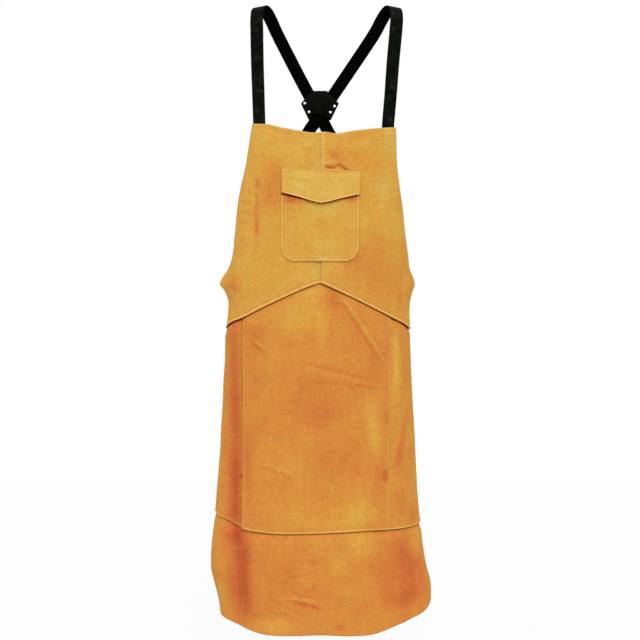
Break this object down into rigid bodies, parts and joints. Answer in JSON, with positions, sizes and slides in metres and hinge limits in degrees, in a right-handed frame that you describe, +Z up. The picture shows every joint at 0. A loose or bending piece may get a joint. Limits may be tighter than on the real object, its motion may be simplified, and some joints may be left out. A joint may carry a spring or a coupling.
{
  "type": "leather welding apron",
  "caption": "Split-leather bib apron in its worn form: chevron waist seam, lapped skirt panels, rounded hem, flapped chest pocket, and black straps crossing in a riveted patch at the back.",
  "frame": {"origin": "between the two straps, level with the top of the shoulders that carry them", "axes": "+Z up along the apron's length, -Y towards the front of the bib, +X to the right in the front view"},
  "size_m": [0.4808, 0.2471, 1.3423],
  "materials": {
    "golden_leather": "napped split leather",
    "orange_leather": "napped split leather",
    "black_leather": "matt",
    "nickel": "polished"
  },
  "bodies": {
    "root": {"bib_left": "golden_leather", "bib_right": "golden_leather", "pocket": "golden_leather", "pocket_flap": "golden_leather", "skirt_center": "orange_leather", "skirt_side_left": "orange_leather", "skirt_side_right": "orange_leather", "hem_panel": "orange_leather", "strap_left": "black_leather", "strap_right": "black_leather", "cross_patch_inner": "black_leather", "cross_patch_outer": "black_leather", "rivet_1": "nickel", "rivet_2": "nickel", "rivet_3": "nickel", "rivet_4": "nickel"}
  },
  "joints": []
}
